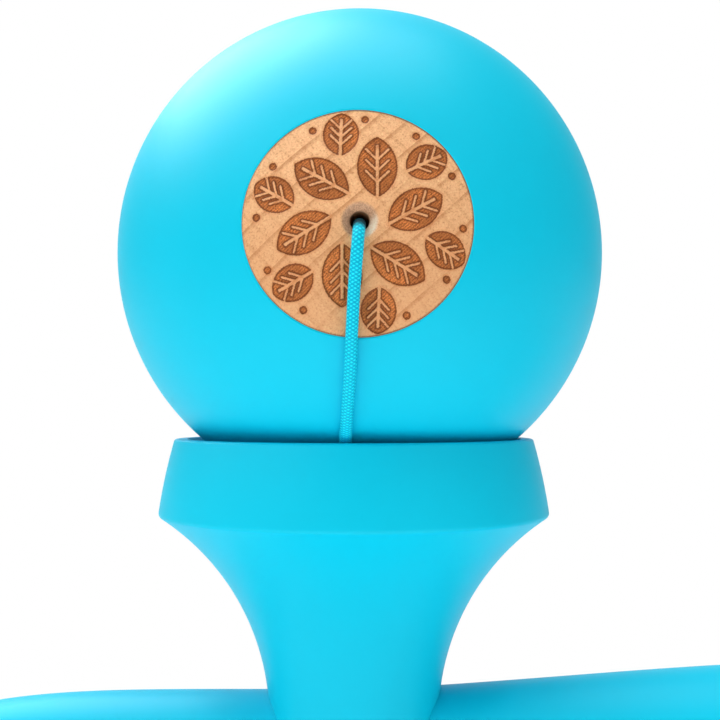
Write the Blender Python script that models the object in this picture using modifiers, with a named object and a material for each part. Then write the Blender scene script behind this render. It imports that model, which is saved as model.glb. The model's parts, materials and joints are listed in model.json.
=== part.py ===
"""Kendama: a turned ball (tama) resting in the big cup of a cross piece (sarado) on its handle (ken).

Metres, +Z up. The cross piece stands on its small cup with the handle along X, spike towards -X.
The origin is on the floor, under the middle of the box round the three wooden pieces.
"""

import math
from collections import namedtuple

import bmesh
import bpy
from mathutils import Matrix, Vector
from mathutils.geometry import interpolate_bezier

# Tama: the ball, its spike socket and its string hole
TAMA_RADIUS = 0.0300
SOCKET_FLOOR = 0.0140  # end of the socket, ahead of the ball's centre
SOCKET_BEVEL_WIDTH = 0.0030
SOCKET_BEVEL_DEPTH = 0.0050
STRING_SINK_RADIUS = 0.0018
STRING_SINK_DEPTH = 0.0012

# Sarado: two cups back to back on a waist that the ken passes through
WAIST_RADIUS = 0.0107
BIG_ARM = 0.0389  # ken axis to the big cup's rim
BIG_RIM_RADIUS = 0.02242
BIG_RIM_LAND = 0.00152
BIG_BAND_HEIGHT = 0.0094
BIG_BAND_SWELL = 0.0020
BIG_WAIST_RUN = 0.0036  # straight waist above the ken axis
BIG_BOWL_DEPTH = 0.0115
SMALL_ARM = 0.0361  # ken axis to the small cup's rim
SMALL_RIM_RADIUS = 0.0196
SMALL_RIM_LAND = 0.0018
SMALL_BAND_HEIGHT = 0.0082
SMALL_BAND_SWELL = 0.0017
SMALL_WAIST_RUN = 0.0050
SMALL_BOWL_DEPTH = 0.0090

# Ken: spike, tapered seat, handle and base cup, measured from the sarado's axis
SPIKE_REACH = 0.0580
SPIKE_TIP_RADIUS = 0.00354
SPIKE_TIP_SLOPE = math.radians(16)
SPIKE_TIP_PULL = 0.0133
SPIKE_BASE_PULL = 0.0220
SEAT_RADIUS = 0.00719  # at the sarado's axis
SEAT_TAPER = 0.0224  # growth in radius per length, towards the handle
HANDLE_REACH = 0.1200
HANDLE_SLOPE = 0.0638  # growth in radius per length where it leaves the sarado
HANDLE_BELLY_RADIUS = 0.0106
HANDLE_BELLY_REACH = 0.0680
HANDLE_PULL = 0.0200
HANDLE_NECK_RADIUS = 0.0083
BASE_RIM_RADIUS = 0.0190
BASE_RIM_LAND = 0.0018
BASE_BAND_HEIGHT = 0.0080
BASE_BAND_SWELL = 0.0016
BASE_FLARE_LENGTH = 0.0185
BASE_BOWL_DEPTH = 0.0085

# Bands and rounded edges of the cups
BAND_BOW = 0.00017  # how far a band bulges out halfway down
RIM_ROUND = 0.0004
BAND_ROUND = 0.0006

# String, bead and knots
STRING_RADIUS = 0.00065
STRING_PINCHED = 0.0005  # thickness where the ball squeezes it on the rim
STRING_SPREAD = 0.08  # widening there, as a share of the width
PINCH_REACH = 0.0038  # length of string over which the squeeze fades
BEAD_RADIUS = 0.0040
KNOT_RADIUS = 0.0018
KNOT_WRAPS = 3
TAMA_KNOT_TAIL = 0.0040
KEN_KNOT_TAIL = 0.0008
KEN_WELL_FLOOR = 0.0010  # end of the knot's well, in front of the ken axis
SARADO_SINK_RADIUS = 0.0021
SARADO_SINK_DEPTH = 0.0007

# Clearances
REST_GAP = 0.0003
PINCH_GAP = 0.00015
SEAT_GAP = 0.0003
SPIKE_PLAY = 0.0010
STRING_PLAY = 0.00035
SARADO_STRING_PLAY = 0.0007
KNOT_PLAY = 0.0006

# Coil of spare string on the floor, from the sarado's axis
COIL_CENTRE = (0.0275, 0.01635)
COIL_INNER_RADIUS = 0.0066
COIL_STEP = 0.00175  # from one loop to the next, sideways and upwards
COIL_TURNS = 2.75
COIL_FLOOR = 0.0007
LOOP_POINTS = 24

# String routes as (x, y, z) from the sarado's axis at floor level
FRONT_ROUTE = (
    (0.00073, -0.00580, 0.09761),
    (0.00073, -0.01600, 0.09756),
    (0.00073, -0.02400, 0.09743),
    (0.00073, -0.02820, 0.09741),
    (0.00070, -0.02955, 0.09717),
    (0.00064, -0.03044, 0.09648),
    (0.00056, -0.03096, 0.09548),
    (0.00038, -0.03070, 0.09330),
    (0.00028, -0.03041, 0.09213),
    (-0.00004, -0.02897, 0.08694),
    (-0.00029, -0.02669, 0.08214),
    (-0.00057, -0.02425, 0.07862),
    (-0.00073, -0.02242, 0.07667),
    (-0.00081, -0.02063, 0.07529),
    (-0.00084, -0.01906, 0.07356),
    (-0.00086, -0.01686, 0.07138),
    (-0.00088, -0.01192, 0.06759),
    (-0.00091, -0.00617, 0.06521),
    (-0.00092, -0.00015, 0.06440),
)
FRONT_PINCH = 13  # place of the squeezed point in the route
BACK_ROUTE = (
    (-0.00092, 0.00015, 0.06440),
    (-0.00094, 0.00617, 0.06521),
    (-0.00096, 0.01192, 0.06759),
    (-0.00098, 0.01686, 0.07138),
    (-0.00099, 0.01906, 0.07356),
    (-0.00100, 0.02063, 0.07529),
    (-0.00100, 0.02225, 0.07597),
    (-0.00100, 0.02405, 0.07540),
    (-0.00100, 0.02500, 0.07370),
    (-0.00100, 0.02535, 0.07000),
    (-0.00095, 0.02540, 0.06200),
    (-0.00080, 0.02536, 0.04400),
    (-0.00060, 0.02535, 0.02400),
    (-0.00030, 0.02535, 0.01100),
    (0.00050, 0.02535, 0.00500),
    (0.00280, 0.02535, 0.00170),
    (0.00680, 0.02535, 0.00082),
    (0.01500, 0.02535, 0.00070),
    (0.02590, 0.02535, 0.00070),
)
BACK_PINCH = 5
RISE_ROUTE = (
    (0.01850, 0.01795, 0.00245),
    (0.01775, 0.01990, 0.00190),
    (0.01540, 0.02165, 0.00115),
    (0.01160, 0.02275, 0.00090),
    (0.00780, 0.02340, 0.00190),
    (0.00490, 0.02365, 0.00480),
    (0.00330, 0.02340, 0.01000),
    (0.00230, 0.02255, 0.01750),
    (0.00145, 0.02100, 0.02550),
    (0.00070, 0.01850, 0.03150),
    (0.00020, 0.01540, 0.03490),
    (0.00000, 0.01260, 0.03600),
    (0.00000, 0.01000, 0.03610),
    (0.00000, 0.00753, 0.03610),
)
ROUTE_PIECES = 2  # tube rings to each span of a route

# Facets: steps round each turned piece, and straight pieces to each curve of a profile
TAMA_STEPS = 48
SARADO_STEPS = 48
KEN_STEPS = 40
SMALL_STEPS = 16
BOWL_PIECES = 7
BAND_PIECES = 3
FLARE_PIECES = 8
ROUND_PIECES = 3
TIP_PIECES = 5
SPIKE_PIECES = 8
HANDLE_PIECES = 8
GRIP_PIECES = 6
BALL_PIECES = 24
BEVEL_PIECES = 5
BEAD_PIECES = 10
WRAP_ANGLES = (45, 0, -45)
FREE_RESOLUTION = 2
COIL_RESOLUTION = 1
SHARP_ANGLE = math.radians(32)
WELD = 0.00001
CUT_MARGIN = 0.0030  # how far a cutter runs past the wall that it cuts

# Colours (linear) with roughness and metallic
CYAN_PAINT = ((0.0, 0.56, 0.80), 0.42, 0.0)
MAPLE = ((0.66, 0.47, 0.26), 0.60, 0.0)
CYAN_NYLON = ((0.01, 0.47, 0.72), 0.55, 0.0)

Cup = namedtuple("Cup", "rim land band swell flare_length bowl_depth")
BIG_CUP = Cup(
    BIG_RIM_RADIUS,
    BIG_RIM_LAND,
    BIG_BAND_HEIGHT,
    BIG_BAND_SWELL,
    BIG_ARM - BIG_BAND_HEIGHT - BIG_WAIST_RUN,
    BIG_BOWL_DEPTH,
)
SMALL_CUP = Cup(
    SMALL_RIM_RADIUS,
    SMALL_RIM_LAND,
    SMALL_BAND_HEIGHT,
    SMALL_BAND_SWELL,
    SMALL_ARM - SMALL_BAND_HEIGHT - SMALL_WAIST_RUN,
    SMALL_BOWL_DEPTH,
)
BASE_CUP = Cup(
    BASE_RIM_RADIUS,
    BASE_RIM_LAND,
    BASE_BAND_HEIGHT,
    BASE_BAND_SWELL,
    BASE_FLARE_LENGTH,
    BASE_BOWL_DEPTH,
)

# Derived places and sizes
SARADO_LENGTH = BIG_ARM + SMALL_ARM
SPIKE_RADIUS = SEAT_RADIUS - SEAT_TAPER * WAIST_RADIUS
SOCKET_RADIUS = SPIKE_RADIUS + SPIKE_PLAY
MOUTH_RADIUS = SOCKET_RADIUS + SOCKET_BEVEL_WIDTH
TAMA_FRONT = math.sqrt(TAMA_RADIUS**2 - STRING_SINK_RADIUS**2)
TAMA_BACK = math.sqrt(TAMA_RADIUS**2 - MOUTH_RADIUS**2)
STRING_HOLE_RADIUS = STRING_RADIUS + STRING_PLAY
SARADO_HOLE_RADIUS = STRING_RADIUS + SARADO_STRING_PLAY
KEN_WELL_RADIUS = KNOT_RADIUS + KNOT_PLAY
BOWL_RADIUS = BIG_RIM_RADIUS - BIG_RIM_LAND
STRING_SEAT = TAMA_RADIUS + STRING_PINCHED + 2 * PINCH_GAP
RIM_SEAT = TAMA_RADIUS + REST_GAP

# The ball leans on the string at the front and back of the rim and on the bare rim at +X
TAMA_SHIFT = (STRING_SEAT**2 - RIM_SEAT**2) / (2 * BOWL_RADIUS)
TAMA_LIFT = max(
    math.sqrt(max(0.0, STRING_SEAT**2 - BOWL_RADIUS**2 - TAMA_SHIFT**2)),
    RIM_SEAT + 2 * STRING_RADIUS + REST_GAP - BIG_BOWL_DEPTH,
)

# The sarado's axis on the floor, which centres the wooden pieces on the origin
FOOT = Vector(((SPIKE_REACH - HANDLE_REACH) / 2, (TAMA_FRONT - TAMA_BACK) / 2, 0.0))
KEN_CENTRE = FOOT + Vector((0.0, 0.0, SMALL_ARM))
TAMA_CENTRE = FOOT + Vector((TAMA_SHIFT, 0.0, SARADO_LENGTH + TAMA_LIFT))
BEAD_PLACE = SOCKET_FLOOR - REST_GAP - BEAD_RADIUS
TAMA_KNOT_PLACE = BEAD_PLACE - math.sqrt(BEAD_RADIUS**2 - STRING_HOLE_RADIUS**2) - REST_GAP


def clear_scene():
    for obj in list(bpy.data.objects):
        bpy.data.objects.remove(obj, do_unlink=True)


def new_collection(name):
    collection = bpy.data.collections.new(name)
    bpy.context.scene.collection.children.link(collection)
    return collection


def new_material(name, finish):
    colour, roughness, metallic = finish
    material = bpy.data.materials.new(name)
    material.use_nodes = True
    material.diffuse_color = (*colour, 1.0)
    shader = material.node_tree.nodes["Principled BSDF"]
    shader.inputs["Base Color"].default_value = (*colour, 1.0)
    shader.inputs["Roughness"].default_value = roughness
    shader.inputs["Metallic"].default_value = metallic
    return material


def turned(name, profile, steps, closed=False):
    """A solid of revolution about local Z from (radius, height) points that run down its outer side."""
    count = len(profile)
    edges = [(i, i + 1) for i in range(count - 1)]
    if closed:
        edges.append((count - 1, 0))
    mesh = bpy.data.meshes.new(name)
    mesh.from_pydata([(radius, 0.0, height) for radius, height in profile], edges, [])
    obj = bpy.data.objects.new(name, mesh)
    screw = obj.modifiers.new("Turn", "SCREW")
    screw.axis = "Z"
    screw.angle = 2 * math.pi
    screw.steps = steps
    screw.render_steps = steps
    screw.use_merge_vertices = True
    screw.merge_threshold = WELD
    return obj


def as_cutter(obj, collection):
    collection.objects.link(obj)
    obj.hide_render = True
    obj.display_type = "WIRE"


def cut(obj, cutter):
    boolean = obj.modifiers.new("Cut " + cutter.name, "BOOLEAN")
    boolean.operation = "DIFFERENCE"
    boolean.solver = "EXACT"
    boolean.object = cutter


def evaluated_mesh(obj):
    """The object's shape with its modifiers or bevel, as a mesh of its own."""
    bpy.context.view_layer.update()
    graph = bpy.context.evaluated_depsgraph_get()
    return bpy.data.meshes.new_from_object(obj.evaluated_get(graph))


def shade(mesh):
    mesh.shade_smooth()
    mesh.set_sharp_from_angle(angle=SHARP_ANGLE)


def settle(obj, finish):
    """Fixes the modelled shape, smooth but for its real edges, with the part's own material."""
    mesh = evaluated_mesh(obj)
    obj.modifiers.clear()
    obj.data = mesh
    mesh.name = obj.name
    shade(mesh)
    mesh.materials.clear()
    mesh.materials.append(new_material(obj.name, finish))


def rounded(before, corner, after, radius):
    """Points of the arc that rounds the corner between two straight runs."""
    corner = Vector(corner)
    back = (Vector(before) - corner).normalized()
    ahead = (Vector(after) - corner).normalized()
    half = back.angle(ahead) / 2
    middle = corner + (back + ahead).normalized() * (radius / math.sin(half))
    first = (corner + back * (radius / math.tan(half)) - middle).normalized()
    last = (corner + ahead * (radius / math.tan(half)) - middle).normalized()
    shares = [i / ROUND_PIECES for i in range(ROUND_PIECES + 1)]
    return [tuple(middle + first.lerp(last, share).normalized() * radius) for share in shares]


def bezier(start, start_handle, end_handle, end, count):
    points = [Vector((*p, 0.0)) for p in (start, start_handle, end_handle, end)]
    return [(p.x, p.y) for p in interpolate_bezier(*points, count + 1)]


def bowl(cup):
    """Round hollow of a cup as (radius, depth below the rim), from its middle out to its edge."""
    edge = cup.rim - cup.land
    radius = (edge**2 + cup.bowl_depth**2) / (2 * cup.bowl_depth)
    reach = math.atan2(edge, radius - cup.bowl_depth)
    angles = [reach * i / BOWL_PIECES for i in range(BOWL_PIECES + 1)]
    return [(radius * math.sin(a), cup.bowl_depth - radius * (1 - math.cos(a))) for a in angles]


def band_side(cup):
    """Bulging band of a cup as (radius, depth below the rim), from its rim to its widest edge."""
    shares = [i / BAND_PIECES for i in range(BAND_PIECES + 1)]
    return [(cup.rim + cup.swell * s + 4 * BAND_BOW * s * (1 - s), cup.band * s) for s in shares]


def cup_wall(cup, neck_radius):
    """Outside of a cup as (radius, depth below the rim): rim edge, band, widest edge, flare to the neck."""
    widest = cup.rim + cup.swell
    step_in = widest - neck_radius
    flare = (step_in**2 + cup.flare_length**2) / (2 * step_in)
    reach = math.atan2(cup.flare_length, flare - step_in)
    neck_depth = cup.band + cup.flare_length
    curve = []
    for i in range(1, FLARE_PIECES + 1):
        angle = reach * (1 - i / FLARE_PIECES)
        curve.append(
            (neck_radius + flare * (1 - math.cos(angle)), neck_depth - flare * math.sin(angle))
        )
    band = band_side(cup)
    rim_round = min(RIM_ROUND, cup.land / 2)
    return (
        rounded((0.0, 0.0), band[0], band[1], rim_round)
        + band[1:-1]
        + rounded(band[-2], band[-1], curve[0], BAND_ROUND)
        + curve
    )


def sarado_profile():
    """From the big bowl's middle over its rim, down the waist and round the small cup into its bowl."""
    big = bowl(BIG_CUP) + cup_wall(BIG_CUP, WAIST_RADIUS)
    small = bowl(SMALL_CUP) + cup_wall(SMALL_CUP, WAIST_RADIUS)
    return [(radius, SARADO_LENGTH - depth) for radius, depth in big] + small[::-1]


def seat_radius(reach):
    """Radius of the ken's tapered seat, this far from the sarado's axis towards the handle."""
    return SEAT_RADIUS + SEAT_TAPER * reach


def ken_profile():
    """From the spike's tip at +Z to the base cup at -Z, with the sarado's axis at height 0."""
    tip_height = SPIKE_REACH - SPIKE_TIP_RADIUS
    tip = []
    for i in range(TIP_PIECES + 1):
        angle = (math.pi / 2 - SPIKE_TIP_SLOPE) * i / TIP_PIECES
        tip.append((SPIKE_TIP_RADIUS * math.sin(angle), tip_height + SPIKE_TIP_RADIUS * math.cos(angle)))
    shoulder = Vector(tip[-1])
    slope = Vector((math.sin(SPIKE_TIP_SLOPE), -math.cos(SPIKE_TIP_SLOPE)))
    seat_top = (seat_radius(-WAIST_RADIUS), WAIST_RADIUS)
    seat_end = (seat_radius(WAIST_RADIUS), -WAIST_RADIUS)
    spike = bezier(
        shoulder,
        shoulder + slope * SPIKE_TIP_PULL,
        (seat_top[0], seat_top[1] + SPIKE_BASE_PULL),
        seat_top,
        SPIKE_PIECES,
    )
    belly = (HANDLE_BELLY_RADIUS, -HANDLE_BELLY_REACH)
    neck = (HANDLE_NECK_RADIUS, BASE_FLARE_LENGTH + BASE_BAND_HEIGHT - HANDLE_REACH)
    handle = bezier(
        seat_end,
        (seat_end[0] + HANDLE_SLOPE * HANDLE_PULL, seat_end[1] - HANDLE_PULL),
        (belly[0], belly[1] + HANDLE_PULL),
        belly,
        HANDLE_PIECES,
    )
    half_run = (belly[1] - neck[1]) / 2
    grip = bezier(
        belly,
        (belly[0], belly[1] - half_run),
        (neck[0], neck[1] + half_run),
        neck,
        GRIP_PIECES,
    )
    base = bowl(BASE_CUP) + cup_wall(BASE_CUP, HANDLE_NECK_RADIUS)
    cup = [(radius, depth - HANDLE_REACH) for radius, depth in base[::-1]]
    return tip + spike[1:] + handle + grip[1:-1] + cup


def tama_profile():
    """From the string hole at +Z round the ball to the spike socket at -Z and back up inside."""
    first = math.atan2(STRING_SINK_RADIUS, TAMA_FRONT)
    last = math.atan2(MOUTH_RADIUS, -TAMA_BACK)
    profile = []
    for i in range(BALL_PIECES + 1):
        angle = first + (last - first) * i / BALL_PIECES
        profile.append((TAMA_RADIUS * math.sin(angle), TAMA_RADIUS * math.cos(angle)))
    for i in range(1, BEVEL_PIECES + 1):
        angle = math.pi / 2 * i / BEVEL_PIECES
        radius = MOUTH_RADIUS - SOCKET_BEVEL_WIDTH * math.sin(angle)
        profile.append((radius, SOCKET_BEVEL_DEPTH * (1 - math.cos(angle)) - TAMA_BACK))
    profile.append((SOCKET_RADIUS, SOCKET_FLOOR))
    profile.append((STRING_HOLE_RADIUS, SOCKET_FLOOR))
    profile.append((STRING_HOLE_RADIUS, TAMA_FRONT - STRING_SINK_DEPTH))
    return profile


def bead_profile():
    end = math.asin(STRING_HOLE_RADIUS / BEAD_RADIUS)
    angles = [end + (math.pi - 2 * end) * i / BEAD_PIECES for i in range(BEAD_PIECES + 1)]
    return [(BEAD_RADIUS * math.sin(a), BEAD_RADIUS * math.cos(a)) for a in angles]


def knot_profile(tail):
    """A barrel of string wraps with its cut tail below; the string enters at height 0."""
    wrap_radius = KNOT_RADIUS - STRING_RADIUS
    profile = [(0.0, 0.0), (wrap_radius, 0.0)]
    for wrap in range(KNOT_WRAPS):
        height = -STRING_RADIUS * (2 * wrap + 1)
        for degrees in WRAP_ANGLES:
            angle = math.radians(degrees)
            radius = wrap_radius + STRING_RADIUS * math.cos(angle)
            profile.append((radius, height + STRING_RADIUS * math.sin(angle)))
    foot = -2 * STRING_RADIUS * KNOT_WRAPS
    end = foot - tail
    return profile + [(wrap_radius, foot), (STRING_RADIUS, foot), (STRING_RADIUS, end), (0.0, end)]


def smooth_route(route):
    """Points read from a smooth curve through a string's route, in world places."""
    places = [FOOT + Vector(point) for point in route]
    spans = [(b - a).length for a, b in zip(places, places[1:])]
    slopes = [(b - a) / span for a, b, span in zip(places, places[1:], spans)]
    tangents = [slopes[0]]
    for i in range(1, len(slopes)):
        total = spans[i - 1] + spans[i]
        tangents.append((slopes[i - 1] * spans[i] + slopes[i] * spans[i - 1]) / total)
    tangents.append(slopes[-1])
    points = [places[0]]
    for i, span in enumerate(spans):
        handles = (places[i] + tangents[i] * span / 3, places[i + 1] - tangents[i + 1] * span / 3)
        points += interpolate_bezier(places[i], *handles, places[i + 1], ROUTE_PIECES + 1)[1:]
    return points


def string_tube(name, points, resolution):
    """A mesh tube along the points, its rings in order, with closed ends."""
    curve = bpy.data.curves.new(name, "CURVE")
    curve.dimensions = "3D"
    curve.bevel_depth = STRING_RADIUS
    curve.bevel_resolution = resolution
    curve.use_fill_caps = True
    spline = curve.splines.new("POLY")
    spline.points.add(len(points) - 1)
    for knot, place in zip(spline.points, points):
        knot.co = (*place, 1.0)
    guide = bpy.data.objects.new(name + "_route", curve)
    bpy.context.scene.collection.objects.link(guide)
    mesh = evaluated_mesh(guide)
    bpy.data.objects.remove(guide, do_unlink=True)
    mesh.name = name
    return mesh


def weld_caps(mesh):
    work = bmesh.new()
    work.from_mesh(mesh)
    bmesh.ops.remove_doubles(work, verts=work.verts, dist=WELD)
    work.to_mesh(mesh)
    work.free()


def squeeze(mesh, points, pinch):
    """Flattens the string between ball and rim: thin along the ball's normal, wider across it."""
    ring = 4 + 2 * FREE_RESOLUTION
    ends = len(mesh.vertices) - ring * len(points)
    for i, centre in enumerate(points):
        away = (centre - points[pinch]).length / PINCH_REACH
        if away >= 1:
            continue
        fade = 1 - away * away * (3 - 2 * away)
        normal = (centre - TAMA_CENTRE).normalized()
        along = (points[min(i + 1, len(points) - 1)] - points[max(i - 1, 0)]).normalized()
        across = normal.cross(along).normalized()
        thin = fade * (1 - STRING_PINCHED / (2 * STRING_RADIUS))
        first = ends + i * ring
        for vertex in mesh.vertices[first : first + ring]:
            offset = vertex.co - centre
            offset -= normal * (offset.dot(normal) * thin)
            offset += across * (offset.dot(across) * fade * STRING_SPREAD)
            vertex.co = centre + offset


def coil_points():
    """One string spiralling in on the floor and out again a layer higher, with straight ends."""
    centre = FOOT + Vector((*COIL_CENTRE, COIL_FLOOR))
    middle = COIL_TURNS / 2
    count = round(COIL_TURNS * LOOP_POINTS)
    points = []
    for i in range(count + 1):
        turn = COIL_TURNS * i / count
        angle = math.pi / 2 - 2 * math.pi * turn
        radius = COIL_INNER_RADIUS + COIL_STEP * abs(turn - middle)
        climb = min(1.0, max(0.0, (turn - middle) * 2 + 0.5))
        spoke = Vector((math.cos(angle), math.sin(angle), 0.0))
        points.append(centre + spoke * radius + Vector((0.0, 0.0, COIL_STEP * climb)))
    lead = 2 * STRING_RADIUS
    return [points[0] - Vector((lead, 0.0, 0.0))] + points + [points[-1] + Vector((0.0, lead, 0.0))]


def least_gap(points):
    """Smallest clear space between two loops of the coil, measured on its points."""
    apart = LOOP_POINTS // 2
    nearest = min(
        (points[i] - points[j]).length
        for i in range(len(points))
        for j in range(i + apart, len(points))
    )
    return nearest - 2 * STRING_RADIUS


def length_of(points):
    return sum((b - a).length for a, b in zip(points, points[1:]))


def place(obj, collection, location, rotation=(0.0, 0.0, 0.0), parent=None):
    collection.objects.link(obj)
    obj.location = location
    obj.rotation_euler = rotation
    obj.parent = parent


def build_sarado(parts, cutters):
    """Double cup, cut through by the ken's tapered bore and by a string hole to the front and back."""
    sarado = turned("sarado", sarado_profile(), SARADO_STEPS)
    place(sarado, parts, FOOT)
    reach = WAIST_RADIUS + CUT_MARGIN
    bore_profile = [
        (0.0, reach),
        (seat_radius(-reach) + SEAT_GAP, reach),
        (seat_radius(reach) + SEAT_GAP, -reach),
        (0.0, -reach),
    ]
    bore = turned("ken_bore_cutter", bore_profile, KEN_STEPS)
    as_cutter(bore, cutters)
    bore.location = KEN_CENTRE
    bore.rotation_euler = (0.0, -math.pi / 2, 0.0)
    hole_profile = [
        (0.0, reach),
        (SARADO_SINK_RADIUS, reach),
        (SARADO_SINK_RADIUS, WAIST_RADIUS),
        (SARADO_HOLE_RADIUS, WAIST_RADIUS - SARADO_SINK_DEPTH),
        (SARADO_HOLE_RADIUS, SARADO_SINK_DEPTH - WAIST_RADIUS),
        (SARADO_SINK_RADIUS, -WAIST_RADIUS),
        (SARADO_SINK_RADIUS, -reach),
        (0.0, -reach),
    ]
    hole = turned("sarado_string_cutter", hole_profile, SMALL_STEPS)
    as_cutter(hole, cutters)
    hole.location = KEN_CENTRE
    hole.rotation_euler = (math.pi / 2, 0.0, 0.0)
    cut(sarado, bore)
    cut(sarado, hole)
    settle(sarado, CYAN_PAINT)


def build_ken(parts, cutters):
    """Spike, seat, handle and base cup in one turning, cross-drilled for the string and its knot."""
    axis = bpy.data.objects.new("ken_axis", None)
    place(axis, parts, KEN_CENTRE)
    ken = turned("ken", ken_profile(), KEN_STEPS)
    place(ken, parts, (0.0, 0.0, 0.0), (0.0, -math.pi / 2, 0.0), axis)
    reach = SEAT_RADIUS + CUT_MARGIN
    well_profile = [
        (0.0, reach),
        (STRING_HOLE_RADIUS, reach),
        (STRING_HOLE_RADIUS, -KEN_WELL_FLOOR),
        (KEN_WELL_RADIUS, -KEN_WELL_FLOOR),
        (KEN_WELL_RADIUS, -reach),
        (0.0, -reach),
    ]
    well = turned("ken_string_cutter", well_profile, SMALL_STEPS)
    as_cutter(well, cutters)
    well.location = KEN_CENTRE
    well.rotation_euler = (-math.pi / 2, 0.0, 0.0)
    cut(ken, well)
    settle(ken, CYAN_PAINT)
    knot = turned("ken_knot", knot_profile(KEN_KNOT_TAIL), SMALL_STEPS)
    place(knot, parts, (0.0, -KEN_WELL_FLOOR - REST_GAP, 0.0), (-math.pi / 2, 0.0, 0.0), axis)
    settle(knot, CYAN_NYLON)
    stub_profile = [
        (0.0, SEAT_RADIUS),
        (STRING_RADIUS, SEAT_RADIUS),
        (STRING_RADIUS, -KEN_WELL_FLOOR),
        (0.0, -KEN_WELL_FLOOR),
    ]
    stub = turned("string_ken_end", stub_profile, 4 + 2 * FREE_RESOLUTION)
    place(stub, parts, (0.0, 0.0, 0.0), (-math.pi / 2, 0.0, 0.0), axis)
    settle(stub, CYAN_NYLON)


def build_tama(parts):
    """Ball, bead and knot on one empty whose Z is the string's axis, pointing forwards."""
    axis = bpy.data.objects.new("tama_axis", None)
    place(axis, parts, TAMA_CENTRE, (math.pi / 2, 0.0, 0.0))
    tama = turned("tama", tama_profile(), TAMA_STEPS, closed=True)
    place(tama, parts, (0.0, 0.0, 0.0), parent=axis)
    settle(tama, CYAN_PAINT)
    bead = turned("tama_bead", bead_profile(), SMALL_STEPS, closed=True)
    place(bead, parts, (0.0, 0.0, BEAD_PLACE), parent=axis)
    settle(bead, MAPLE)
    knot = turned("tama_knot", knot_profile(TAMA_KNOT_TAIL), SMALL_STEPS)
    place(knot, parts, (0.0, 0.0, TAMA_KNOT_PLACE), parent=axis)
    settle(knot, CYAN_NYLON)


def build_free_string(parts, name, route, pinch=None):
    points = smooth_route(route)
    mesh = string_tube(name, points, FREE_RESOLUTION)
    if pinch is not None:
        squeeze(mesh, points, pinch * ROUTE_PIECES)
    weld_caps(mesh)
    finish_string(parts, name, mesh)
    return points


def build_coil(parts):
    points = coil_points()
    mesh = string_tube("string_coil", points, COIL_RESOLUTION)
    weld_caps(mesh)
    finish_string(parts, "string_coil", mesh)
    print(f"string_coil: least gap to itself {least_gap(points) * 1000:.2f} mm")
    return points


def finish_string(parts, name, mesh):
    """Puts the string's piece in the scene with its origin at the sarado's foot."""
    mesh.transform(Matrix.Translation(-FOOT))
    shade(mesh)
    mesh.materials.clear()
    mesh.materials.append(new_material(name, CYAN_NYLON))
    place(bpy.data.objects.new(name, mesh), parts, FOOT)


def build_string(parts):
    front = build_free_string(parts, "string_front", FRONT_ROUTE, FRONT_PINCH)
    back = build_free_string(parts, "string_back", BACK_ROUTE, BACK_PINCH)
    coil = build_coil(parts)
    rise = build_free_string(parts, "string_rise", RISE_ROUTE)
    total = sum(length_of(points) for points in (front, back, coil, rise))
    print(f"string: {total * 1000:.0f} mm from the ball's knot to the ken")


def main():
    clear_scene()
    parts = new_collection("kendama")
    cutters = new_collection("cutters")
    build_sarado(parts, cutters)
    build_ken(parts, cutters)
    build_tama(parts)
    build_string(parts)
    bpy.context.view_layer.update()


main()
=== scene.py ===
"""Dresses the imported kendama: turned and painted wood, an engraved bare patch and a braided string."""

import json
import math

import bpy
import numpy as np
from bpy.props import FloatProperty, FloatVectorProperty, IntProperty, PointerProperty
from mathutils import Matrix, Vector
from mathutils.geometry import interpolate_bezier


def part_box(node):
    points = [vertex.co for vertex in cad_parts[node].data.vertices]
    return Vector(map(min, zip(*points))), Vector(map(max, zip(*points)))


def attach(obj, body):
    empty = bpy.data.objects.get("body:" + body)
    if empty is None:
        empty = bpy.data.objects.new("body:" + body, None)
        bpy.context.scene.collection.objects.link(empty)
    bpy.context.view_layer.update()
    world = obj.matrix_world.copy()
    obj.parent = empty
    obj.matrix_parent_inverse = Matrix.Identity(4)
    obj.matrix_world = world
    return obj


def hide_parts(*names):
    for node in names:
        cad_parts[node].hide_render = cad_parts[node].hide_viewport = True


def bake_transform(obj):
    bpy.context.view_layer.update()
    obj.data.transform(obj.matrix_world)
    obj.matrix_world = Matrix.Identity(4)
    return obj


bl_info = {
    "name": "Kendama",
    "version": (1, 0, 0),
    "blender": (4, 5, 0),
    "location": "3D View > Sidebar > Kendama",
    "description": "Turned ball, cross piece and handle with a braided string",
    "category": "Add Mesh",
}

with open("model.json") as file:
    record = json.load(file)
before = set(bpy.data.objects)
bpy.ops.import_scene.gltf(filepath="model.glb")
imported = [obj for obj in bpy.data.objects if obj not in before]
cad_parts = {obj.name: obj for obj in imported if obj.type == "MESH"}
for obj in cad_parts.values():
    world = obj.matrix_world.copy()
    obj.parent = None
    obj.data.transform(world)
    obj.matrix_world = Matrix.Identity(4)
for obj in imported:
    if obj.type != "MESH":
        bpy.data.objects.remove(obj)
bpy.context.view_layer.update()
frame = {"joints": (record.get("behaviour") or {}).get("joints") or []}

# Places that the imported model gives
TAMA_CENTRE = Vector(next(j for j in frame["joints"] if j["name"] == "tama_spin")["pos_m"])
SARADO_LOW, SARADO_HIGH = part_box("sarado")
FOOT = Vector(((SARADO_LOW.x + SARADO_HIGH.x) / 2, TAMA_CENTRE.y, 0.0))
KEN_LOW, KEN_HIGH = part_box("ken")
KEN_CENTRE = Vector((FOOT.x, FOOT.y, (KEN_LOW.z + KEN_HIGH.z) / 2))
RIGHT = Vector((1.0, 0.0, 0.0))
FORWARD = Vector((0.0, -1.0, 0.0))
UP = Vector((0.0, 0.0, 1.0))
MM = 1000  # millimetres in a metre
WELD = 1e-6
SEEN = ("Is Camera Ray", "Is Glossy Ray", "Is Transmission Ray")

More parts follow.
